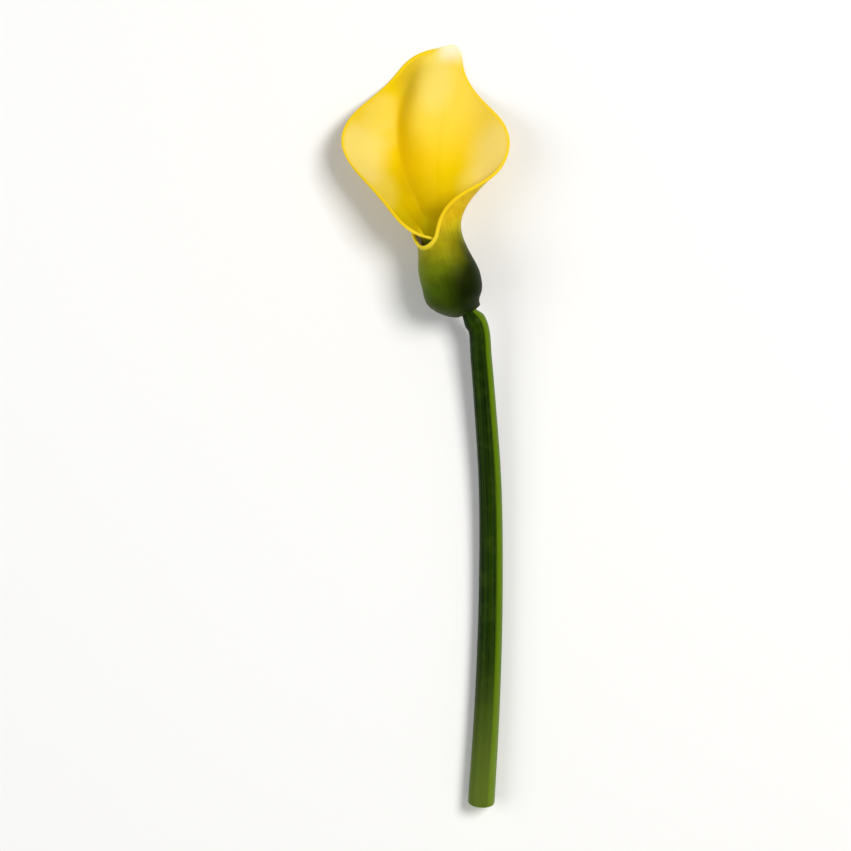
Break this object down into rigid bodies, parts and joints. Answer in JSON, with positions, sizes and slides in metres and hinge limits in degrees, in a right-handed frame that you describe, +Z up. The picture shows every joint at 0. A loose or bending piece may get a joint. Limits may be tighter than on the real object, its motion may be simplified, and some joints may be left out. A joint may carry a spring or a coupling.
{
  "type": "arum lily flower",
  "caption": "Arum lily flower on a cut stem, lying on its back: a yellow spathe rolled into a tube that opens in a wide mouth, round a short spadix.",
  "frame": {"origin": "middle of the footprint, on the surface that the flower lies on", "axes": "+Y from the stem's cut end to the spathe's tip, +Z up, the way the spathe's mouth faces, +X to the right for somebody who looks into the mouth with the tip at the top"},
  "size_m": [0.0491, 0.2263, 0.023],
  "materials": {
    "spathe": "satin",
    "spadix": "matte",
    "stem": "satin"
  },
  "bodies": {
    "root": {"spathe": "spathe", "spadix": "spadix", "stem": "stem"}
  },
  "joints": []
}
